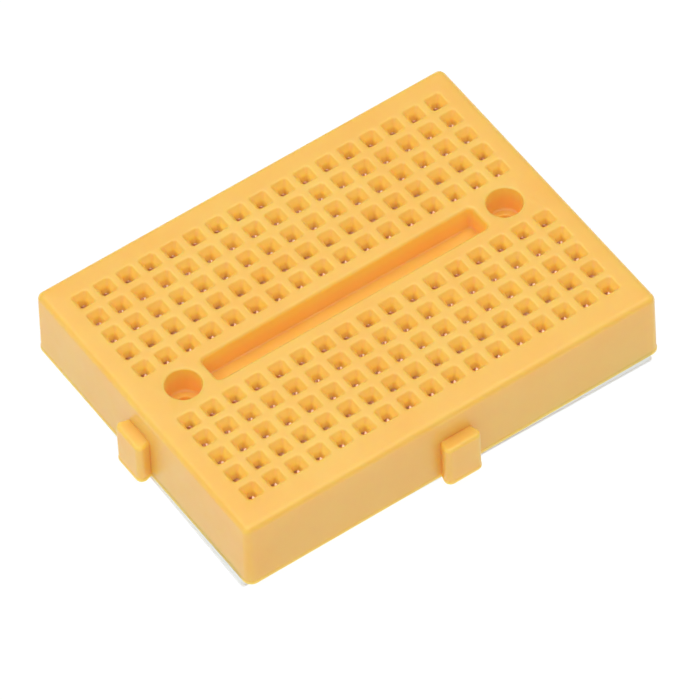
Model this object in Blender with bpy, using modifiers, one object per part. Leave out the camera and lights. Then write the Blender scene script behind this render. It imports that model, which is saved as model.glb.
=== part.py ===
"""Mini solderless breadboard with 170 tie points.

A moulded housing carries a grid of 17 columns by 2 x 5 square tie points at
0.1 inch pitch.  Every column half has one spring clip in a pocket below it.
A sheet of double-sided foam tape closes the pockets from below, and a paper
release liner covers the tape.

Frame: metres, +Z up.  +X runs along the 17 columns and +Y across them.  The
origin is the centre of the tie-point grid, on the plane the board rests on.
"""

import math

import bmesh
import bpy
from mathutils import Matrix, Vector

MM = 0.001

# Tie-point grid
PITCH = 2.54 * MM
COLUMNS = 17
TIES_PER_CLIP = 5
CENTRE_GAP = 3 * PITCH

# Stack of layers, bottom to top
LINER_THICKNESS = 0.12 * MM
TAPE_THICKNESS = 0.78 * MM
LAYER_GAP = 0.05 * MM
LINER_GAP = 0.05 * MM
HOUSING_HEIGHT = 8.0 * MM

# Housing
TOP_LENGTH = 46.85 * MM
TOP_WIDTH = 35.15 * MM
DRAFT = 0.16 * MM
FOOT_LIP = 0.06 * MM
FOOT_LIP_HEIGHT = 0.45 * MM
CORNER_RADIUS = 0.9 * MM
TOP_EDGE_RADIUS = 0.7 * MM

# The walls stand a little off the centre of the tie-point grid
WALL_SHIFT_X = -0.12 * MM
WALL_SHIFT_Y = -0.23 * MM

# Tie-point holes, each a square funnel above a square throat
FUNNEL_WIDTH = 1.86 * MM
FUNNEL_DEPTH = 0.69 * MM
THROAT_WIDTH = 0.87 * MM
SKIN_THICKNESS = 1.55 * MM

# Pockets that hold the clips, open at the underside
POCKET_WIDTH = 2.0 * MM
POCKET_END_ROOM = 1.12 * MM

# Centre channel and the counterbored screw holes at its ends
CHANNEL_LENGTH = 31.0 * MM
CHANNEL_WIDTH = 3.0 * MM
CHANNEL_DEPTH = 2.8 * MM
CHANNEL_CORNER_RADIUS = 0.5 * MM
SCREW_SPACING = 36.8 * MM
SCREW_HOLE_DIAMETER = 1.9 * MM
COUNTERBORE_DIAMETER = 3.55 * MM
COUNTERBORE_DEPTH = 3.1 * MM

# Dovetail tabs on the -X and -Y sides, and the slots that take them opposite
TAB_ROOT_WIDTH = 3.6 * MM
TAB_TIP_WIDTH = 4.4 * MM
TAB_REACH = 1.4 * MM
TAB_HEIGHT = 5.0 * MM
TAB_TIP_RADIUS = 0.6 * MM
TAB_ROOT_DEPTH = 0.5 * MM
SLOT_CLEARANCE = 0.15 * MM

# Spring clips, stamped from one strip
CLIP_SHEET = 0.2 * MM
CLIP_SPINE_WIDTH = 1.4 * MM
CLIP_FINGER_WIDTH = 1.9 * MM
CLIP_PINCH_HALF_GAP = 0.14 * MM
CLIP_TIP_HALF_GAP = 0.34 * MM
CLIP_FLARE_HEIGHT = 0.7 * MM
CLIP_FLOOR_ROOM = 0.3 * MM
CLIP_CEILING_ROOM = 0.1 * MM

# Foam tape and liner, cut a little under size and laid about a degree askew
LINER_LENGTH = 46.6 * MM
LINER_WIDTH = 34.4 * MM
LINER_OVERHANG = 0.06 * MM
TAPE_SHIFT_X = -0.25 * MM
TAPE_SHIFT_Y = -0.3 * MM
TAPE_SKEW = math.radians(-1.1)
TAPE_CORNER_RADIUS = 0.4 * MM

# Derived sizes and levels
TAPE_BOTTOM = LINER_THICKNESS + LINER_GAP
TAPE_TOP = TAPE_BOTTOM + TAPE_THICKNESS
HOUSING_BOTTOM = TAPE_TOP + LAYER_GAP
HOUSING_TOP = HOUSING_BOTTOM + HOUSING_HEIGHT
POCKET_CEILING = HOUSING_TOP - SKIN_THICKNESS
WALL_LENGTH = TOP_LENGTH + 2 * DRAFT
WALL_WIDTH = TOP_WIDTH + 2 * DRAFT
FOOT_LENGTH = WALL_LENGTH + 2 * FOOT_LIP
FOOT_WIDTH = WALL_WIDTH + 2 * FOOT_LIP
GROUP_CENTRE_Y = (CENTRE_GAP + (TIES_PER_CLIP - 1) * PITCH) / 2

# Cutters run this far past the faces they open
OVERCUT = 0.5 * MM

# Edges that turn by more than this stay sharp where the faces are shaded smooth
SHARP_ANGLE = math.radians(35)

UP = Vector((0, 0, 1))


def clear_scene():
    """Remove everything that the file opened with."""
    for obj in list(bpy.data.objects):
        bpy.data.objects.remove(obj, do_unlink=True)


def make_collection(name):
    collection = bpy.data.collections.new(name)
    bpy.context.scene.collection.children.link(collection)
    return collection


def make_material(name, colour, roughness, metallic=0.0):
    material = bpy.data.materials.new(name)
    material.use_nodes = True
    shader = material.node_tree.nodes["Principled BSDF"]
    shader.inputs["Base Color"].default_value = (*colour, 1.0)
    shader.inputs["Roughness"].default_value = roughness
    shader.inputs["Metallic"].default_value = metallic
    return material


def mesh_from(bm, name, flat_faces=None):
    """Turn a bmesh into mesh data; only the faces listed as flat are shaded flat."""
    bmesh.ops.recalc_face_normals(bm, faces=bm.faces)
    for face in bm.faces:
        face.smooth = flat_faces is not None and face not in flat_faces
    mesh = bpy.data.meshes.new(name)
    bm.to_mesh(mesh)
    bm.free()
    mesh.set_sharp_from_angle(angle=SHARP_ANGLE)
    return mesh


def add_object(name, mesh, collection, location=(0, 0, 0), turn=0.0):
    obj = bpy.data.objects.new(name, mesh)
    obj.location = location
    obj.rotation_euler.z = turn
    collection.objects.link(obj)
    return obj


def column_positions():
    """X of each tie-point column, centred on the origin."""
    return [(column - (COLUMNS - 1) / 2) * PITCH for column in range(COLUMNS)]


def tie_offsets():
    """Y of each tie point of one clip, from the middle of the clip."""
    return [(tie - (TIES_PER_CLIP - 1) / 2) * PITCH for tie in range(TIES_PER_CLIP)]


def vertical_edges(bm):
    return [edge for edge in bm.edges if edge.verts[0].co.xy == edge.verts[1].co.xy]


def top_face(bm):
    """The largest face that looks straight up."""
    bm.normal_update()
    return max(bm.faces, key=lambda face: face.calc_area() * face.normal.z)


def add_box(bm, size, centre):
    """A box of the given size, added to a bmesh."""
    matrix = Matrix.Translation(centre) @ Matrix.Diagonal((*size, 1.0))
    return bmesh.ops.create_cube(bm, size=1.0, matrix=matrix)["verts"]


def raise_wall(bm, height, scale_x, scale_y):
    """Step in from the foot lip and pull the wall up with its draft."""
    bmesh.ops.inset_individual(bm, faces=[top_face(bm)], thickness=FOOT_LIP,
                               use_even_offset=True)
    lid = bmesh.ops.extrude_discrete_faces(bm, faces=[top_face(bm)])["faces"][0]
    bmesh.ops.translate(bm, verts=lid.verts, vec=UP * height)
    bmesh.ops.scale(bm, verts=lid.verts, vec=(scale_x, scale_y, 1.0))


def round_edges(bm, edges, radius, segments):
    bmesh.ops.bevel(bm, geom=edges, offset=radius, segments=segments, profile=0.5,
                    affect="EDGES")


def outer_block():
    """The outside of the housing: foot lip, drafted walls and rounded top edge."""
    bm = bmesh.new()
    add_box(bm, (FOOT_LENGTH, FOOT_WIDTH, FOOT_LIP_HEIGHT),
            (0, 0, HOUSING_BOTTOM + FOOT_LIP_HEIGHT / 2))
    round_edges(bm, vertical_edges(bm), CORNER_RADIUS, 5)
    raise_wall(bm, HOUSING_HEIGHT - FOOT_LIP_HEIGHT,
               TOP_LENGTH / WALL_LENGTH, TOP_WIDTH / WALL_WIDTH)
    round_edges(bm, list(top_face(bm).edges), TOP_EDGE_RADIUS, 3)
    return mesh_from(bm, "outer_block", flat_faces=[top_face(bm)])


def dovetail_block(root_width, tip_width, reach, depth_in, height, tip_radius):
    """A dovetail bar that points along -Y, with its wide end at the tip."""
    bm = bmesh.new()
    length = reach + depth_in
    add_box(bm, (tip_width, length, height), (0, depth_in - length / 2, height / 2))
    root_scale = (root_width - (tip_width - root_width) * depth_in / reach) / tip_width
    for vert in bm.verts:
        if vert.co.y > 0:
            vert.co.x *= root_scale
    if tip_radius:
        tips = [edge for edge in vertical_edges(bm) if edge.verts[0].co.y < 0]
        round_edges(bm, tips, tip_radius, 3)
    return mesh_from(bm, "dovetail")


def tie_point_cutter():
    """All the square funnels and the throats below them."""
    bm = bmesh.new()
    slope = (FUNNEL_WIDTH - THROAT_WIDTH) / FUNNEL_DEPTH
    mouth_width = FUNNEL_WIDTH + slope * OVERCUT
    depth = FUNNEL_DEPTH + OVERCUT
    quarter = Matrix.Rotation(math.radians(45), 4, "Z")
    throat_drop = SKIN_THICKNESS - FUNNEL_DEPTH + OVERCUT
    for side in (-1, 1):
        for x in column_positions():
            for offset in tie_offsets():
                centre = Vector((x, side * GROUP_CENTRE_Y + offset,
                                 HOUSING_TOP + OVERCUT - depth / 2))
                cone = bmesh.ops.create_cone(
                    bm, cap_ends=True, segments=4, radius1=THROAT_WIDTH / math.sqrt(2),
                    radius2=mouth_width / math.sqrt(2), depth=depth,
                    matrix=Matrix.Translation(centre) @ quarter)
                faces = {face for vert in cone["verts"] for face in vert.link_faces}
                throat = min(faces, key=lambda face: face.calc_center_median().z)
                grown = bmesh.ops.extrude_discrete_faces(bm, faces=[throat])["faces"]
                bmesh.ops.translate(bm, verts=grown[0].verts, vec=-UP * throat_drop)
    return mesh_from(bm, "tie_points")


def pocket_cutter():
    """The row of narrow pockets under each half of the grid."""
    bm = bmesh.new()
    length = (TIES_PER_CLIP - 1) * PITCH + 2 * POCKET_END_ROOM
    bottom = HOUSING_BOTTOM - OVERCUT
    height = POCKET_CEILING - bottom
    for side in (-1, 1):
        for x in column_positions():
            add_box(bm, (POCKET_WIDTH, length, height),
                    (x, side * GROUP_CENTRE_Y, bottom + height / 2))
    return mesh_from(bm, "pockets")


def channel_cutter():
    """The centre channel between the two halves."""
    bm = bmesh.new()
    height = CHANNEL_DEPTH + OVERCUT
    add_box(bm, (CHANNEL_LENGTH, CHANNEL_WIDTH, height),
            (0, 0, HOUSING_TOP + OVERCUT - height / 2))
    round_edges(bm, vertical_edges(bm), CHANNEL_CORNER_RADIUS, 3)
    return mesh_from(bm, "channel")


def cylinder_mesh(name, diameter, height, segments):
    bm = bmesh.new()
    bmesh.ops.create_cone(bm, cap_ends=True, segments=segments, radius1=diameter / 2,
                          radius2=diameter / 2, depth=height)
    ends = [face for face in bm.faces if len(face.verts) > 4]
    return mesh_from(bm, name, flat_faces=ends)


def boolean(target, tool, operation):
    """Join or cut with another object, which then only shows as a wire."""
    tool.hide_render = True
    tool.display_type = "WIRE"
    modifier = target.modifiers.new(tool.name, "BOOLEAN")
    modifier.operation = operation
    modifier.solver = "EXACT"
    modifier.object = tool


def add_tabs(housing, tools):
    """Dovetail tabs in the middle of the -Y and -X sides."""
    mesh = dovetail_block(TAB_ROOT_WIDTH, TAB_TIP_WIDTH, TAB_REACH, TAB_ROOT_DEPTH,
                          TAB_HEIGHT, TAB_TIP_RADIUS)
    front = add_object("front_tab", mesh, tools,
                       (0, WALL_SHIFT_Y - WALL_WIDTH / 2, HOUSING_BOTTOM))
    left = add_object("left_tab", mesh, tools,
                      (WALL_SHIFT_X - WALL_LENGTH / 2, 0, HOUSING_BOTTOM), math.radians(-90))
    boolean(housing, front, "UNION")
    boolean(housing, left, "UNION")


def add_slots(housing, tools):
    """Dovetail slots in the +Y and +X sides, open at the underside."""
    spread = 2 * SLOT_CLEARANCE
    mesh = dovetail_block(TAB_ROOT_WIDTH + spread, TAB_TIP_WIDTH + spread,
                          TAB_REACH + SLOT_CLEARANCE, OVERCUT,
                          TAB_HEIGHT + SLOT_CLEARANCE + OVERCUT, 0.0)
    level = HOUSING_BOTTOM - OVERCUT
    back = add_object("back_slot", mesh, tools, (0, WALL_SHIFT_Y + FOOT_WIDTH / 2, level))
    right = add_object("right_slot", mesh, tools, (WALL_SHIFT_X + FOOT_LENGTH / 2, 0, level),
                       math.radians(-90))
    boolean(housing, back, "DIFFERENCE")
    boolean(housing, right, "DIFFERENCE")


def add_screw_holes(housing, tools):
    """A counterbored hole past each end of the channel."""
    bore_height = HOUSING_HEIGHT + 2 * OVERCUT
    bore = cylinder_mesh("screw_bore", SCREW_HOLE_DIAMETER, bore_height, 20)
    seat_height = COUNTERBORE_DEPTH + OVERCUT
    seat = cylinder_mesh("counterbore", COUNTERBORE_DIAMETER, seat_height, 28)
    for side, label in ((-1, "left"), (1, "right")):
        x = side * SCREW_SPACING / 2
        middle = (HOUSING_BOTTOM + HOUSING_TOP) / 2
        boolean(housing, add_object(label + "_bore", bore, tools, (x, 0, middle)),
                "DIFFERENCE")
        level = HOUSING_TOP + OVERCUT - seat_height / 2
        boolean(housing, add_object(label + "_counterbore", seat, tools, (x, 0, level)),
                "DIFFERENCE")


def make_housing(parts, tools):
    housing = add_object("housing", outer_block(), parts, (WALL_SHIFT_X, WALL_SHIFT_Y, 0))
    housing.data.materials.append(
        make_material("yellow_abs", (0.91, 0.55, 0.11), 0.42))
    add_tabs(housing, tools)
    add_slots(housing, tools)
    boolean(housing, add_object("tie_points", tie_point_cutter(), tools), "DIFFERENCE")
    boolean(housing, add_object("pockets", pocket_cutter(), tools), "DIFFERENCE")
    boolean(housing, add_object("channel", channel_cutter(), tools), "DIFFERENCE")
    add_screw_holes(housing, tools)
    return housing


def finger_profile():
    """X and Z of the sheet's middle at the pinch and at the flared tip."""
    tip = POCKET_CEILING - CLIP_CEILING_ROOM - HOUSING_BOTTOM
    return ((CLIP_PINCH_HALF_GAP, tip - CLIP_FLARE_HEIGHT), (CLIP_TIP_HALF_GAP, tip))


def pull_edges(bm, edges, x, z):
    """Extrude edges to a new X and Z and return the edges that moved there."""
    grown = bmesh.ops.extrude_edge_only(bm, edges=edges)["geom"]
    moved = [item for item in grown if isinstance(item, bmesh.types.BMVert)]
    for vert in moved:
        vert.co.x = x
        vert.co.z = z
    return [item for item in grown if isinstance(item, bmesh.types.BMEdge)
            and all(vert in moved for vert in item.verts)]


def finger_roots(bm, side):
    """Every other edge along one side of the spine carries a finger."""
    edges = [edge for edge in bm.edges if all(vert.co.x * side > 0 for vert in edge.verts)]
    edges.sort(key=lambda edge: edge.verts[0].co.y + edge.verts[1].co.y)
    return edges[::2]


def clip_mesh():
    """The middle surface of a clip: a flat spine with five pairs of fingers."""
    bm = bmesh.new()
    level = CLIP_FLOOR_ROOM + CLIP_SHEET / 2
    stations = []
    for offset in tie_offsets():
        stations += [offset - CLIP_FINGER_WIDTH / 2, offset + CLIP_FINGER_WIDTH / 2]
    rail = [bm.verts.new((-CLIP_SPINE_WIDTH / 2, y, level)) for y in stations]
    edges = [bm.edges.new(pair) for pair in zip(rail, rail[1:])]
    pull_edges(bm, edges, CLIP_SPINE_WIDTH / 2, level)
    for side in (-1, 1):
        edges = finger_roots(bm, side)
        for x, z in finger_profile():
            edges = pull_edges(bm, edges, side * x, z)
    return mesh_from(bm, "contact_clip")


def make_clips(parts):
    """One clip for each column half, named by column and tie-point letters."""
    mesh = clip_mesh()
    mesh.materials.append(make_material("nickel_plate", (0.62, 0.60, 0.56), 0.28, 1.0))
    for letters, side in (("ae", -1), ("fj", 1)):
        for number, x in enumerate(column_positions(), start=1):
            clip = add_object(f"contact_clip_{number:02d}_{letters}", mesh, parts,
                              (x, side * GROUP_CENTRE_Y, HOUSING_BOTTOM))
            sheet = clip.modifiers.new("sheet", "SOLIDIFY")
            sheet.thickness = CLIP_SHEET
            sheet.offset = 0.0
            sheet.use_even_offset = True


def sheet_mesh(name, length, width, thickness):
    """A thin rectangular sheet with slightly rounded corners, standing on z = 0."""
    bm = bmesh.new()
    add_box(bm, (length, width, thickness), (0, 0, thickness / 2))
    round_edges(bm, vertical_edges(bm), TAPE_CORNER_RADIUS, 3)
    return mesh_from(bm, name)


def make_tape_and_liner(parts):
    tape = sheet_mesh("foam_tape", LINER_LENGTH - 2 * LINER_OVERHANG,
                      LINER_WIDTH - 2 * LINER_OVERHANG, TAPE_THICKNESS)
    tape.materials.append(make_material("white_foam", (0.78, 0.77, 0.74), 0.9))
    add_object("foam_tape", tape, parts, (TAPE_SHIFT_X, TAPE_SHIFT_Y, TAPE_BOTTOM), TAPE_SKEW)
    liner = sheet_mesh("release_liner", LINER_LENGTH, LINER_WIDTH, LINER_THICKNESS)
    liner.materials.append(make_material("glassine_paper", (0.80, 0.80, 0.78), 0.5))
    add_object("release_liner", liner, parts, (TAPE_SHIFT_X, TAPE_SHIFT_Y, 0), TAPE_SKEW)


def main():
    clear_scene()
    parts = make_collection("solderless_breadboard")
    tools = make_collection("cutters")
    make_housing(parts, tools)
    make_clips(parts)
    make_tape_and_liner(parts)


main()
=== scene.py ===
"""Looks of a mini solderless breadboard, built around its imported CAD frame.

The housing, the spring clips, the foam tape and the release liner are rebuilt here in
finer mesh than the CAD solids, at the places that the frame gives them.
"""

import math

import bmesh
import bpy
from mathutils import Matrix, Quaternion, Vector, noise


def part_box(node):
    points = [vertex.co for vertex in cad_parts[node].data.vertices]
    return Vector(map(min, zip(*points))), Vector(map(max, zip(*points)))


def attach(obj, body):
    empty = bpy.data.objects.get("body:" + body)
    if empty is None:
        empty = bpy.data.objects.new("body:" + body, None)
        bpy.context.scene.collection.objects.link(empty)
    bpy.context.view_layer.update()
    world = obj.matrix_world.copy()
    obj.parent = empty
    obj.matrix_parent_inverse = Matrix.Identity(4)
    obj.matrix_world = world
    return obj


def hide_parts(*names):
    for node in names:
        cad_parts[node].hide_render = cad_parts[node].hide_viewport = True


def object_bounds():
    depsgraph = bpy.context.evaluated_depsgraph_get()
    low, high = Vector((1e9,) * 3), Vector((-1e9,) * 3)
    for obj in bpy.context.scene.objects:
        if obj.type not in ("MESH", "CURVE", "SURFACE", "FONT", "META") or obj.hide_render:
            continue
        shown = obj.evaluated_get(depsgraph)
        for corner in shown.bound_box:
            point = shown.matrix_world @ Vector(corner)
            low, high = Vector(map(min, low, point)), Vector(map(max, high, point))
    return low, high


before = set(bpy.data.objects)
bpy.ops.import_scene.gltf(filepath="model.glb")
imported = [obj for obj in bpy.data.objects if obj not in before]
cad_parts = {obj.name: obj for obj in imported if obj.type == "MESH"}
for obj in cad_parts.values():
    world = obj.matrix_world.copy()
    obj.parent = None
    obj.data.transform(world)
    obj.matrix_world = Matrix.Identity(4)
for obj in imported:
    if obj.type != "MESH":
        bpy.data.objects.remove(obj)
cad_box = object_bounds()

MM = 0.001

# Places read from the frame
HOUSING_LOW, HOUSING_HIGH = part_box("housing")
TAPE_LOW, TAPE_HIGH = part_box("foam_tape")
LINER_LOW, LINER_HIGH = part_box("release_liner")
BOTTOM = HOUSING_LOW.z
TOP = HOUSING_HIGH.z
COLUMNS = 17
TIES_PER_CLIP = 5
ROW_LETTERS = ("ae", "fj")

# Outside of the housing
WALL_SHIFT = Vector((-0.12 * MM, -0.23 * MM))
FOOT_HALF_X = HOUSING_HIGH.x - WALL_SHIFT.x
FOOT_HALF_Y = HOUSING_HIGH.y - WALL_SHIFT.y
FOOT_LIP = 0.06 * MM
FOOT_LIP_STRAIGHT = 0.3 * MM
FOOT_LIP_HEIGHT = 0.45 * MM
FOOT_LIP_RADIUS = 0.1 * MM
FOOT_EDGE_RADIUS = 0.06 * MM
DRAFT = 0.16 * MM
CORNER_RADIUS = 0.9 * MM
TOP_EDGE_RADIUS = 0.7 * MM

# Tie points
FUNNEL_HALF = 0.93 * MM
FUNNEL_DEPTH = 0.69 * MM
THROAT_HALF = 0.435 * MM
SKIN_THICKNESS = 1.55 * MM
RIM_RADIUS = 0.24 * MM
CHANNEL_RIM_RADIUS = 0.35 * MM
FUNNEL_BLEND = 0.7 * MM
HOLE_CORNER_RADIUS = 0.38 * MM
THROAT_CORNER_RADIUS = 0.25 * MM

# Pockets
POCKET_HALF_X = 1.0 * MM
POCKET_END_ROOM = 1.12 * MM
POCKET_CORNER_RADIUS = 0.15 * MM

# Centre channel and screw holes
CHANNEL_HALF_X = 15.5 * MM
CHANNEL_HALF_Y = 1.5 * MM
CHANNEL_DEPTH = 2.8 * MM
CHANNEL_CORNER_RADIUS = 0.5 * MM
CHANNEL_FLOOR_RADIUS = 0.2 * MM
SCREW_X = 18.4 * MM
BORE_RADIUS = 0.95 * MM
COUNTERBORE_RADIUS = 1.775 * MM
COUNTERBORE_DEPTH = 3.1 * MM
COUNTERBORE_FLOOR_RADIUS = 0.3 * MM
COUNTERBORE_RIM_RADIUS = 0.18 * MM
BORE_RIM_RADIUS = 0.12 * MM

# Dovetails
TAB_ROOT = 3.6 * MM
TAB_TIP = 4.4 * MM
TAB_REACH = 1.4 * MM
TAB_HEIGHT = 5.0 * MM
TAB_TIP_RADIUS = 0.6 * MM
TAB_EDGE_RADIUS = 0.38 * MM
TAB_ROOT_DEPTH = 0.5 * MM
SLOT_CLEARANCE = 0.15 * MM
SLOT_CORNER_RADIUS = 0.1 * MM

# Spring clips
SHEET = 0.2 * MM
SPINE_HALF = 0.7 * MM
FINGER_HALF = 0.95 * MM
TIP_NARROWING = 0.2 * MM
PINCH_HALF_GAP = 0.14 * MM
TIP_HALF_GAP = 0.34 * MM
FLARE_HEIGHT = 0.7 * MM
SPINE_BEND_RADIUS = 0.25 * MM
PINCH_BEND_RADIUS = 0.4 * MM
TIP_BEND_RADIUS = 0.12 * MM
TIP_CURL = 0.3 * MM
TIP_CUP = 0.12 * MM
CUP_POWER = 8
CLIP_EDGE_RADIUS = 0.07 * MM

# Tape and liner, with a hair's breadth left between the layers
TAPE_SKEW = math.radians(-1.1)
TAPE_CORNER_RADIUS = 0.4 * MM
LAYER_GAP = 0.01 * MM
COARSE_WANDER = 1.6 / MM
FINE_WANDER = 6 / MM
COARSE_SHARE = 0.6
SQUARENESS = 15

# Camera
VIEW_AZIMUTH = math.radians(-32.51)
VIEW_ELEVATION = math.radians(51.82)
VIEW_ROLL = math.radians(-3.05)
VIEW_DISTANCE = 0.79225
VIEW_TARGET = Vector((0.24 * MM, 0.07 * MM, 0.0))
LENS = 429.8
SENSOR = 36.0

TOUCH = 0.001 * MM
AWAY = 2 * MM  # a straight run beyond the last bend of a profile
SHARP_ANGLE = math.radians(40)


# ---------------------------------------------------------------- mesh helpers

def clip_centre(number, letters):
    low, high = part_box(f"contact_clip_{number:02d}_{letters}")
    return (low + high) / 2


def column_places():
    """X of each tie-point column."""
    return [clip_centre(number, ROW_LETTERS[0]).x for number in range(1, COLUMNS + 1)]


def pitch():
    places = column_places()
    return (places[-1] - places[0]) / (COLUMNS - 1)


def tie_offsets():
    """Y of each tie point of one clip, from the clip's middle."""
    return [(tie - (TIES_PER_CLIP - 1) / 2) * pitch() for tie in range(TIES_PER_CLIP)]


def rounded_rectangle(half_x, half_y, radius, steps):
    """Points round a rectangle with rounded corners, anticlockwise."""
    points = []
    for quarter in range(4):
        for step in range(steps + 1):
            angle = math.pi / 2 * (quarter + step / steps)
            corner_x = (half_x - radius) * (1 if quarter in (0, 3) else -1)
            corner_y = (half_y - radius) * (1 if quarter in (0, 1) else -1)
            points.append((corner_x + radius * math.cos(angle),
                           corner_y + radius * math.sin(angle)))
    return points


def circle(radius, steps):
    return [(radius * math.cos(2 * math.pi * step / steps),
             radius * math.sin(2 * math.pi * step / steps)) for step in range(steps)]


def soft_path(points, radii, steps=4):
    """A path with its inner points turned into arcs of the given radii."""
    path = [Vector(points[0])]
    for before, here, after, radius in zip(points, points[1:], points[2:], radii):
        here = Vector(here)
        to_before = (Vector(before) - here).normalized()
        to_after = (Vector(after) - here).normalized()
        turn = math.pi - to_before.angle(to_after)
        centre = here + (to_before + to_after).normalized() * radius / math.cos(turn / 2)
        start = here + to_before * radius * math.tan(turn / 2) - centre
        side = 1 if to_before.x * to_after.y - to_before.y * to_after.x < 0 else -1
        for step in range(steps + 1):
            path.append(centre + Matrix.Rotation(side * turn * step / steps, 2) @ start)
    path.append(Vector(points[-1]))
    return path


def loft(bm, path, shape, centre=(0.0, 0.0)):
    """Skin the rings that shape(spread) gives along a path of (spread, z)."""
    rings = []
    for spread, z in path:
        rings.append([bm.verts.new((centre[0] + x, centre[1] + y, z))
                      for x, y in shape(spread)])
    for below, above in zip(rings, rings[1:]):
        for i, vert in enumerate(below):
            bm.faces.new((below[i - 1], vert, above[i], above[i - 1]))
    return rings[0], rings[-1]


def close_ends(bm, rings):
    """Cap the first and last rings of a loft."""
    for ring in rings:
        bm.faces.new(ring)


def ring_edges(bm, ring):
    """The edges round a ring, with any that are still missing."""
    return [bm.edges.get((ring[i - 1], vert)) or bm.edges.new((ring[i - 1], vert))
            for i, vert in enumerate(ring)]


def fill_flat(bm, edges):
    """Fill the flat region between an outline and the holes in it."""
    bmesh.ops.triangle_fill(bm, edges=edges, use_beauty=True, normal=(0, 0, 1))


def finished_mesh(bm, name, material, sharp_angle=SHARP_ANGLE):
    bmesh.ops.recalc_face_normals(bm, faces=bm.faces)
    mesh = bpy.data.meshes.new(name)
    bm.to_mesh(mesh)
    bm.free()
    mesh.shade_smooth()
    mesh.set_sharp_from_angle(angle=sharp_angle)
    mesh.materials.append(material)
    return mesh


def add_object(name, mesh, location=(0, 0, 0), turn=0.0):
    obj = bpy.data.objects.new(name, mesh)
    obj.location = location
    obj.rotation_euler.z = turn
    bpy.context.scene.collection.objects.link(obj)
    return obj


def even_shading(obj):
    """Let the large flat faces decide the normals beside the small round edges."""
    weighted = obj.modifiers.new("even_shading", "WEIGHTED_NORMAL")
    weighted.keep_sharp = True
    weighted.weight = 100


# ---------------------------------------------------------------- housing

def outer_outline(spread):
    """The housing's outline, spread out from its wall at the foot."""
    return rounded_rectangle(FOOT_HALF_X - FOOT_LIP + spread, FOOT_HALF_Y - FOOT_LIP + spread,
                             CORNER_RADIUS + spread, 8)


def outer_profile(height, top_radius, draft):
    """Spread and height up the outside: foot lip, wall and rounded top edge."""
    points = [(-AWAY, BOTTOM), (FOOT_LIP, BOTTOM), (FOOT_LIP, BOTTOM + FOOT_LIP_STRAIGHT),
              (0, BOTTOM + FOOT_LIP_HEIGHT), (-draft, BOTTOM + height),
              (-AWAY, BOTTOM + height)]
    radii = [FOOT_EDGE_RADIUS, FOOT_LIP_RADIUS, FOOT_LIP_RADIUS, top_radius]
    return soft_path(points, radii)[1:-1]


def outer_shell():
    """The closed outside of the housing, before its tabs, slots and holes."""
    bm = bmesh.new()
    profile = outer_profile(TOP - BOTTOM, TOP_EDGE_RADIUS, DRAFT)
    close_ends(bm, loft(bm, profile, outer_outline, WALL_SHIFT))
    return bm


def dovetail_outline(spread, tip_radius=TAB_TIP_RADIUS):
    """A dovetail that points along -Y from y = 0, with a stub into the wall behind it."""
    half_root = TAB_ROOT / 2 + spread
    half_tip = TAB_TIP / 2 + spread
    half_back = half_root - (half_tip - half_root) * TAB_ROOT_DEPTH / TAB_REACH
    corners = [(-half_back, TAB_ROOT_DEPTH), (-half_tip, -TAB_REACH - spread),
               (half_tip, -TAB_REACH - spread), (half_back, TAB_ROOT_DEPTH)]
    return soft_path(corners, [tip_radius + spread] * 2, steps=6)


def rounded_tab():
    """A dovetail tab with the foot lip of the wall and rounded top edges."""
    bm = bmesh.new()
    profile = outer_profile(TAB_HEIGHT, TAB_EDGE_RADIUS, draft=0)
    close_ends(bm, loft(bm, profile, dovetail_outline))
    return bm


def plain_slot():
    """What is cut away for a slot: a tab with room around it, open at the underside."""
    bm = bmesh.new()
    levels = [(SLOT_CLEARANCE, BOTTOM - AWAY),
              (SLOT_CLEARANCE, BOTTOM + TAB_HEIGHT + SLOT_CLEARANCE)]
    close_ends(bm, loft(bm, levels,
                        lambda spread: dovetail_outline(spread, SLOT_CORNER_RADIUS)))
    return bm


def as_mesh(bm, name):
    bmesh.ops.recalc_face_normals(bm, faces=bm.faces)
    mesh = bpy.data.meshes.new(name)
    bm.to_mesh(mesh)
    bm.free()
    return mesh


def shell_with_dovetails():
    """Join the tabs to the outer shell, cut the slots, and return it as a bmesh."""
    shell = add_object("shell", as_mesh(outer_shell(), "shell"))
    quarter = math.radians(-90)
    tab = as_mesh(rounded_tab(), "tab")
    slot = as_mesh(plain_slot(), "slot")
    front_wall = WALL_SHIFT.y - FOOT_HALF_Y + FOOT_LIP
    left_wall = WALL_SHIFT.x - FOOT_HALF_X + FOOT_LIP
    tools = [
        ("UNION", add_object("front_tab", tab, (0, front_wall, 0))),
        ("UNION", add_object("left_tab", tab, (left_wall, 0, 0), quarter)),
        ("DIFFERENCE", add_object("back_slot", slot, (0, HOUSING_HIGH.y, 0))),
        ("DIFFERENCE", add_object("right_slot", slot, (HOUSING_HIGH.x, 0, 0), quarter)),
    ]
    for operation, tool in tools:
        boolean = shell.modifiers.new(tool.name, "BOOLEAN")
        boolean.operation = operation
        boolean.solver = "EXACT"
        boolean.object = tool
    bpy.context.view_layer.update()
    shell_now = shell.evaluated_get(bpy.context.evaluated_depsgraph_get())
    bm = bmesh.new()
    bm.from_mesh(shell_now.data)
    for obj in [shell] + [tool for _, tool in tools]:
        bpy.data.objects.remove(obj)
    return bm


def open_plane(bm, level):
    """Delete the flat faces at one height and return the open edges they leave."""
    flat = [face for face in bm.faces
            if all(abs(vert.co.z - level) < TOUCH for vert in face.verts)]
    bmesh.ops.delete(bm, geom=flat, context="FACES")
    return [edge for edge in bm.edges if edge.is_boundary
            and all(abs(vert.co.z - level) < TOUCH for vert in edge.verts)]


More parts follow.
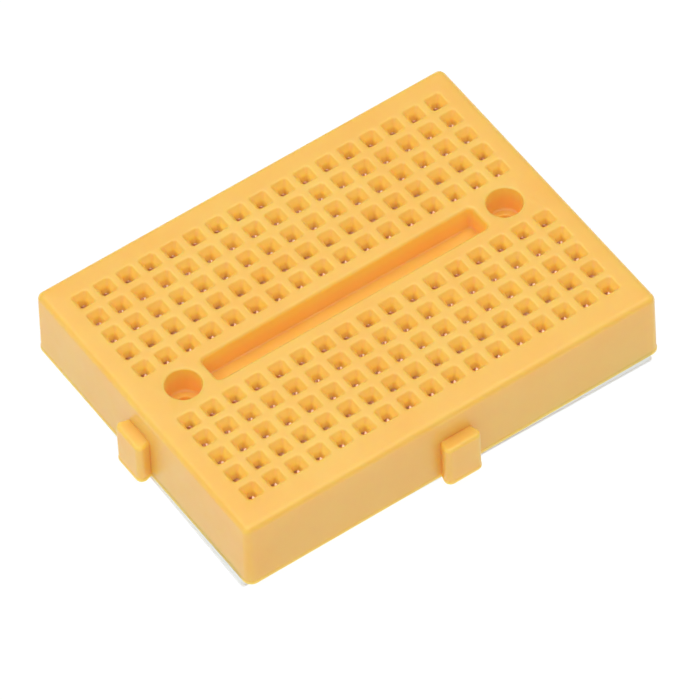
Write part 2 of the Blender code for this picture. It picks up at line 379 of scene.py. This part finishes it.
def tie_point_outline(half):
    """A rounded square, with tighter corners towards the throat."""
    share = (half - THROAT_HALF) / (FUNNEL_HALF - THROAT_HALF)
    radius = THROAT_CORNER_RADIUS + share * (HOLE_CORNER_RADIUS - THROAT_CORNER_RADIUS)
    return rounded_rectangle(half, half, radius, 4)


def tie_point(bm, x, y):
    """One funnel and throat; returns its top and bottom rings."""
    points = [(AWAY, TOP), (FUNNEL_HALF, TOP), (THROAT_HALF, TOP - FUNNEL_DEPTH),
              (THROAT_HALF, TOP - SKIN_THICKNESS)]
    path = soft_path(points, [RIM_RADIUS, FUNNEL_BLEND], steps=5)[1:]
    return loft(bm, path, tie_point_outline, (x, y))


def pocket(bm, x, y, throats):
    """The pocket under five throats; returns its bottom ring."""
    half_y = (TIES_PER_CLIP - 1) / 2 * pitch() + POCKET_END_ROOM
    outline = rounded_rectangle(POCKET_HALF_X, half_y, POCKET_CORNER_RADIUS, 3)
    path = [(0, TOP - SKIN_THICKNESS), (0, BOTTOM)]
    ceiling, mouth = loft(bm, path, lambda spread: outline, (x, y))
    fill_flat(bm, [edge for ring in throats + [ceiling] for edge in ring_edges(bm, ring)])
    return mouth


def channel(bm):
    """The centre channel with its flat floor; returns its top ring."""
    points = [(AWAY, TOP), (0, TOP), (0, TOP - CHANNEL_DEPTH), (-AWAY, TOP - CHANNEL_DEPTH)]
    path = soft_path(points, [CHANNEL_RIM_RADIUS, CHANNEL_FLOOR_RADIUS])[1:-1]
    rim, floor = loft(
        bm, path, lambda spread: rounded_rectangle(
            CHANNEL_HALF_X + spread, CHANNEL_HALF_Y + spread,
            CHANNEL_CORNER_RADIUS + spread, 5))
    bm.faces.new(floor)
    return rim


def screw_hole(bm, x):
    """A counterbored hole; returns its top and bottom rings."""
    floor = TOP - COUNTERBORE_DEPTH
    points = [(COUNTERBORE_RADIUS + AWAY, TOP), (COUNTERBORE_RADIUS, TOP),
              (COUNTERBORE_RADIUS, floor),
              (BORE_RADIUS, floor), (BORE_RADIUS, BOTTOM)]
    radii = [COUNTERBORE_RIM_RADIUS, COUNTERBORE_FLOOR_RADIUS, BORE_RIM_RADIUS]
    path = soft_path(points, radii)[1:]
    return loft(bm, path, lambda radius: circle(radius, 48), (x, 0))


def make_housing(material):
    """The moulded housing: outer shell, all its holes and the flat faces between them."""
    bm = shell_with_dovetails()
    top_edges = open_plane(bm, TOP)
    bottom_edges = open_plane(bm, BOTTOM)
    top_rings = [channel(bm)]
    bottom_rings = []
    for x in (-SCREW_X, SCREW_X):
        mouth, foot = screw_hole(bm, x)
        top_rings.append(mouth)
        bottom_rings.append(foot)
    for letters in ROW_LETTERS:
        for number in range(1, COLUMNS + 1):
            centre = clip_centre(number, letters)
            holes = [tie_point(bm, centre.x, centre.y + offset) for offset in tie_offsets()]
            top_rings += [top for top, _ in holes]
            bottom_rings.append(pocket(bm, centre.x, centre.y, [foot for _, foot in holes]))
    for ring in top_rings:
        top_edges += ring_edges(bm, ring)
    for ring in bottom_rings:
        bottom_edges += ring_edges(bm, ring)
    fill_flat(bm, top_edges)
    fill_flat(bm, bottom_edges)
    housing = add_object("moulded_housing", finished_mesh(bm, "moulded_housing", material))
    even_shading(housing)
    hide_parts("housing")
    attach(housing, "board")


# ---------------------------------------------------------------- spring clips

def clip_section(bottom, top):
    """Half of the clip's bent section, from the spine's middle to the finger's tip."""
    floor = bottom + SHEET / 2
    points = [(0, floor), (SPINE_HALF, floor), (PINCH_HALF_GAP, top - FLARE_HEIGHT),
              (TIP_HALF_GAP, top - SHEET), (TIP_HALF_GAP + TIP_CURL, top - SHEET / 2)]
    return soft_path(points, [SPINE_BEND_RADIUS, PINCH_BEND_RADIUS, TIP_BEND_RADIUS], steps=5)


def finger(bm, section, side, offset, low, high):
    """One finger with its half of the spine; returns its rows from spine to tip.

    The finger narrows towards its tip, and the tip is cupped across its width.
    """
    rows = []
    for x, z in section:
        height = (z - low) / (high - low)
        half = FINGER_HALF - TIP_NARROWING * height
        cup = TIP_CUP * height ** CUP_POWER
        rows.append([bm.verts.new((side * x, offset + share * half,
                                   z - cup * (1 - share * share)))
                     for share in (-1, -0.8, -0.4, 0, 0.4, 0.8, 1)])
    for below, above in zip(rows, rows[1:]):
        for corners in zip(below, below[1:], above[1:], above):
            bm.faces.new(corners)
    return rows


def clip_mesh(material):
    """One bent strip with five pairs of fingers, about its own centre line."""
    low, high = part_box("contact_clip_01_ae")
    section = clip_section(low.z, high.z)
    bm = bmesh.new()
    pairs = [[finger(bm, section, side, offset, low.z, high.z) for side in (-1, 1)]
             for offset in tie_offsets()]
    for lower, upper in zip(pairs, pairs[1:]):
        for one, next_one in zip(lower, upper):
            bm.faces.new((one[0][-1], one[1][-1], next_one[1][0], next_one[0][0]))
    bmesh.ops.remove_doubles(bm, verts=bm.verts, dist=TOUCH)
    return finished_mesh(bm, "spring_clip", material, math.radians(60))


def make_clips(material):
    """One clip for each half column."""
    mesh = clip_mesh(material)
    for letters in ROW_LETTERS:
        for number in range(1, COLUMNS + 1):
            centre = clip_centre(number, letters)
            clip = add_object(f"spring_clip_{number:02d}_{letters}", mesh,
                              (centre.x, centre.y, 0))
            sheet = clip.modifiers.new("sheet", "SOLIDIFY")
            sheet.thickness = SHEET
            sheet.offset = 0.0
            edges = clip.modifiers.new("edges", "BEVEL")
            edges.width = CLIP_EDGE_RADIUS
            edges.segments = 3
            edges.limit_method = "ANGLE"
            edges.angle_limit = math.radians(50)
            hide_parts(f"contact_clip_{number:02d}_{letters}")
            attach(clip, "board")


# ---------------------------------------------------------------- tape and liner

def sheet_halves(low, high):
    """Half sizes of the rectangle that fills a box when it is turned by the skew."""
    span_x = (high.x - low.x) / 2
    span_y = (high.y - low.y) / 2
    cosine = math.cos(TAPE_SKEW)
    sine = math.sin(abs(TAPE_SKEW))
    shrink = cosine * cosine - sine * sine
    return (span_x * cosine - span_y * sine) / shrink, (span_y * cosine - span_x * sine) / shrink


def dense_outline(half_x, half_y, radius, spacing):
    """A rounded rectangle with extra points along its sides."""
    corners = [Vector(point) for point in rounded_rectangle(half_x, half_y, radius, 5)]
    points = []
    for start, end in zip(corners, corners[1:] + corners[:1]):
        count = max(1, round((end - start).length / spacing))
        points += [start.lerp(end, i / count) for i in range(count)]
    return points


def ragged(point, half_x, half_y, wander, layer):
    """Push one point of a cut edge in or out, differently in each layer."""
    coarse = noise.noise(Vector((*(point * COARSE_WANDER), layer * 0.9)))
    fine = noise.noise(Vector((*(point * FINE_WANDER), layer * 2.3 + 7)))
    outward = Vector(((point.x / half_x) ** SQUARENESS,
                      (point.y / half_y) ** SQUARENESS)).normalized()
    return point + outward * wander * (COARSE_SHARE * coarse + (1 - COARSE_SHARE) * fine)


def rough_slab(name, low, high, spacing, wander, levels, material):
    """A cut sheet whose edge wanders a little, as a loft of its outline."""
    half_x, half_y = sheet_halves(low, high)
    outline = dense_outline(half_x - wander, half_y - wander, TAPE_CORNER_RADIUS, spacing)
    path = [(layer, low.z + (high.z - low.z) * layer / levels) for layer in range(levels + 1)]
    bm = bmesh.new()
    close_ends(bm, loft(bm, path, lambda layer: [ragged(point, half_x, half_y, wander, layer)
                                                 for point in outline]))
    centre = (low + high) / 2
    return add_object(name, finished_mesh(bm, name, material), (centre.x, centre.y, 0),
                      TAPE_SKEW)


def make_tape_and_liner(foam, paper):
    """The foam tape under the housing and the paper liner under the tape."""
    tape_top = Vector((TAPE_HIGH.x, TAPE_HIGH.y, BOTTOM - LAYER_GAP))
    tape = rough_slab("foam_tape_layer", TAPE_LOW, tape_top, spacing=0.12 * MM,
                      wander=0.03 * MM, levels=5, material=foam)
    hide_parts("foam_tape")
    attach(tape, "board")
    liner_top = Vector((LINER_HIGH.x, LINER_HIGH.y, TAPE_LOW.z - LAYER_GAP))
    liner = rough_slab("paper_liner", LINER_LOW, liner_top, spacing=0.6 * MM,
                       wander=0.02 * MM, levels=1, material=paper)
    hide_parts("release_liner")
    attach(liner, "liner")


# ---------------------------------------------------------------- materials

def new_material(name):
    material = bpy.data.materials.new(name)
    material.use_nodes = True
    return material, material.node_tree.nodes["Principled BSDF"], material.node_tree


def object_noise(tree, scale, detail=3.0, roughness=0.5):
    """Noise in object space; scale is in features per millimetre."""
    place = tree.nodes.new("ShaderNodeTexCoord")
    texture = tree.nodes.new("ShaderNodeTexNoise")
    texture.inputs["Scale"].default_value = scale / MM
    texture.inputs["Detail"].default_value = detail
    texture.inputs["Roughness"].default_value = roughness
    tree.links.new(place.outputs["Object"], texture.inputs["Vector"])
    return texture.outputs["Fac"]


def ramp(tree, source, low, high, dark, light):
    """Blend two colours where source goes from low to high."""
    mix = tree.nodes.new("ShaderNodeValToRGB")
    mix.color_ramp.elements[0].position = low
    mix.color_ramp.elements[0].color = (*dark, 1)
    mix.color_ramp.elements[1].position = high
    mix.color_ramp.elements[1].color = (*light, 1)
    tree.links.new(source, mix.inputs["Fac"])
    return mix.outputs["Color"]


def spread(tree, source, low, high):
    """Map a noise around 0.5 to values between low and high."""
    node = tree.nodes.new("ShaderNodeMapRange")
    node.inputs["From Min"].default_value = 0.3
    node.inputs["From Max"].default_value = 0.7
    node.inputs["To Min"].default_value = low
    node.inputs["To Max"].default_value = high
    tree.links.new(source, node.inputs["Value"])
    return node.outputs["Result"]


def remap(tree, source, low, high, start=0.0, end=1.0):
    """Map low..high smoothly to start..end."""
    node = tree.nodes.new("ShaderNodeMapRange")
    node.interpolation_type = "SMOOTHSTEP"
    for name, value in zip(("From Min", "From Max", "To Min", "To Max"),
                           (low, high, start, end)):
        node.inputs[name].default_value = value
    tree.links.new(source, node.inputs["Value"])
    return node.outputs["Result"]


def calculate(tree, operation, first, second=None):
    node = tree.nodes.new("ShaderNodeMath")
    node.operation = operation
    tree.links.new(first, node.inputs[0])
    if second is not None:
        tree.links.new(second, node.inputs[1])
    return node.outputs["Value"]


def painted_hole_glow(tree):
    """Strength and colour of a painted glow: emission on the steep walls of the holes, standing
    in for light that comes through the plastic.

    It is yellow just below the top face, and weaker and redder further down.
    """
    place = tree.nodes.new("ShaderNodeTexCoord")
    point = tree.nodes.new("ShaderNodeSeparateXYZ")
    facing = tree.nodes.new("ShaderNodeSeparateXYZ")
    tree.links.new(place.outputs["Object"], point.inputs["Vector"])
    tree.links.new(place.outputs["Normal"], facing.inputs["Vector"])
    steep = remap(tree, calculate(tree, "ABSOLUTE", facing.outputs["Z"]), 0.95, 0.3)
    below_top = remap(tree, point.outputs["Z"], TOP - 0.05 * MM, TOP - 0.4 * MM)
    nearness = remap(tree, point.outputs["Z"], TOP - 2.2 * MM, TOP - 0.6 * MM)
    strength = remap(tree, nearness, 0.0, 1.0, 0.08, 0.105)
    for mask in (steep, below_top):
        strength = calculate(tree, "MULTIPLY", strength, mask)
    for axis, wall in (("X", FOOT_HALF_X), ("Y", FOOT_HALF_Y)):
        off_centre = calculate(tree, "ABSOLUTE", point.outputs[axis])
        inside = remap(tree, off_centre, wall - 1.8 * MM, wall - 2.4 * MM)
        strength = calculate(tree, "MULTIPLY", strength, inside)
    return strength, ramp(tree, nearness, 0.0, 1.0, (1.0, 0.38, 0.14), (0.55, 0.80, 0.10))


def add_bump(tree, shader, source, height, strength=1.0, below=None):
    bump = tree.nodes.new("ShaderNodeBump")
    bump.inputs["Strength"].default_value = strength
    bump.inputs["Distance"].default_value = height
    tree.links.new(source, bump.inputs["Height"])
    if below is not None:
        tree.links.new(below, bump.inputs["Normal"])
    tree.links.new(bump.outputs["Normal"], shader.inputs["Normal"])
    return bump.outputs["Normal"]


def yellow_plastic():
    material, shader, tree = new_material("yellow_abs")
    cloud = object_noise(tree, 0.12, 4.0, 0.55)
    colour = ramp(tree, cloud, 0.35, 0.65, (0.96, 0.525, 0.105), (0.97, 0.565, 0.125))
    tree.links.new(colour, shader.inputs["Base Color"])
    tree.links.new(spread(tree, object_noise(tree, 0.5), 0.30, 0.38), shader.inputs["Roughness"])
    shader.inputs["IOR"].default_value = 1.55
    shader.inputs["Specular IOR Level"].default_value = 0.52
    shader.inputs["Subsurface Weight"].default_value = 1.0
    shader.inputs["Subsurface Radius"].default_value = (1.0, 0.75, 0.2)
    shader.inputs["Subsurface Scale"].default_value = 1.6 * MM
    # Painted glow: emission in the holes, standing in for light coming through the plastic and
    # bouncing inside.
    glow, glow_colour = painted_hole_glow(tree)
    tree.links.new(glow, shader.inputs["Emission Strength"])
    tree.links.new(glow_colour, shader.inputs["Emission Color"])
    wave = add_bump(tree, shader, object_noise(tree, 0.25, 1.0), 0.02 * MM)
    add_bump(tree, shader, object_noise(tree, 9.0, 2.0), 0.002 * MM, 0.6, wave)
    return material


def plated_metal():
    """Plated spring metal, with painted glints (spots of emission) on the fingertips below the
    throats.
    """
    tip_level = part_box("contact_clip_01_ae")[1].z
    material, shader, tree = new_material("plated_spring_metal")
    colour = ramp(tree, object_noise(tree, 1.2), 0.35, 0.65, (0.78, 0.54, 0.34),
                  (0.95, 0.80, 0.66))
    tree.links.new(colour, shader.inputs["Base Color"])
    shader.inputs["Metallic"].default_value = 1.0
    tree.links.new(spread(tree, object_noise(tree, 5.0), 0.4, 0.6), shader.inputs["Roughness"])
    add_bump(tree, shader, object_noise(tree, 7.0, 2.0), 0.06 * MM)
    place = tree.nodes.new("ShaderNodeTexCoord")
    point = tree.nodes.new("ShaderNodeSeparateXYZ")
    tree.links.new(place.outputs["Object"], point.inputs["Vector"])
    # Painted glints: noise spots of pinkish emission near the fingertips, standing in for
    # reflected light.
    near_tip = remap(tree, point.outputs["Z"], tip_level - 0.5 * MM, tip_level - 0.2 * MM)
    painted_glint = remap(tree, object_noise(tree, 4.0, 2.0), 0.52, 0.62, 0.03, 0.8)
    shader.inputs["Emission Color"].default_value = (1.0, 0.68, 0.50, 1)
    tree.links.new(calculate(tree, "MULTIPLY", near_tip, painted_glint),
                   shader.inputs["Emission Strength"])
    return material


def white_foam():
    material, shader, tree = new_material("white_foam")
    colour = ramp(tree, object_noise(tree, 3.0), 0.35, 0.65, (0.93, 0.93, 0.92),
                  (0.97, 0.97, 0.96))
    tree.links.new(colour, shader.inputs["Base Color"])
    tree.links.new(spread(tree, object_noise(tree, 2.0), 0.75, 0.95), shader.inputs["Roughness"])
    add_bump(tree, shader, object_noise(tree, 11.0, 3.0), 0.03 * MM)
    return material


def liner_paper():
    material, shader, tree = new_material("release_paper")
    colour = ramp(tree, object_noise(tree, 0.6, 5.0), 0.35, 0.65, (0.93, 0.93, 0.92),
                  (0.97, 0.97, 0.96))
    tree.links.new(colour, shader.inputs["Base Color"])
    tree.links.new(spread(tree, object_noise(tree, 1.0), 0.35, 0.5), shader.inputs["Roughness"])
    add_bump(tree, shader, object_noise(tree, 4.0, 4.0), 0.006 * MM)
    return material


# ---------------------------------------------------------------- studio

def floor_material():
    material, shader, _ = new_material("floor")
    shader.inputs["Base Color"].default_value = (0.06, 0.06, 0.06, 1)
    shader.inputs["Roughness"].default_value = 0.9
    shader.inputs["Emission Color"].default_value = (1, 1, 1, 1)
    shader.inputs["Emission Strength"].default_value = 0.955
    return material


def make_floor():
    bm = bmesh.new()
    bmesh.ops.create_grid(bm, x_segments=1, y_segments=1, size=8.0)
    floor = add_object("floor", finished_mesh(bm, "floor", floor_material()),
                       (0, 0, cad_box[0].z))


def area_light(name, colour, azimuth, elevation, distance, size, power):
    """A square soft box that looks at the origin."""
    light = bpy.data.lights.new(name, "AREA")
    light.color = colour
    light.size = size
    light.energy = power
    lamp = bpy.data.objects.new(name, light)
    a, e = math.radians(azimuth), math.radians(elevation)
    back = Vector((math.sin(a) * math.cos(e), -math.cos(a) * math.cos(e), math.sin(e)))
    lamp.location = back * distance
    lamp.rotation_mode = "QUATERNION"
    lamp.rotation_quaternion = back.to_track_quat("Z", "Y")
    bpy.context.scene.collection.objects.link(lamp)


def make_lights():
    """A large soft key over dim white surroundings, whose backdrop is as white as the floor."""
    world = bpy.data.worlds.new("studio")
    world.use_nodes = True
    tree = world.node_tree
    sky = tree.nodes["Background"]
    sky.inputs["Color"].default_value = (1, 1, 1, 1)
    backdrop = tree.nodes.new("ShaderNodeLightPath").outputs["Is Camera Ray"]
    tree.links.new(remap(tree, backdrop, 0.0, 1.0, 0.36, 1.0), sky.inputs["Strength"])
    bpy.context.scene.world = world
    area_light("key", (1.0, 1.03, 0.98), -85, 81, 1.2, 1.8, 16.8)


def make_camera():
    data = bpy.data.cameras.new("camera")
    data.lens = LENS
    data.sensor_width = SENSOR
    data.clip_start = 0.05
    data.clip_end = 50.0
    camera = bpy.data.objects.new("camera", data)
    flat = math.cos(VIEW_ELEVATION)
    back = Vector((math.sin(VIEW_AZIMUTH) * flat, -math.cos(VIEW_AZIMUTH) * flat,
                   math.sin(VIEW_ELEVATION)))
    camera.location = VIEW_TARGET + back * VIEW_DISTANCE
    camera.rotation_mode = "QUATERNION"
    camera.rotation_quaternion = (back.to_track_quat("Z", "Y")
                                  @ Quaternion((0, 0, 1), VIEW_ROLL))
    bpy.context.scene.collection.objects.link(camera)
    bpy.context.scene.camera = camera
    bpy.context.scene.view_settings.view_transform = "Standard"


make_camera()
make_floor()
make_lights()
make_housing(yellow_plastic())
make_clips(plated_metal())
make_tape_and_liner(white_foam(), liner_paper())
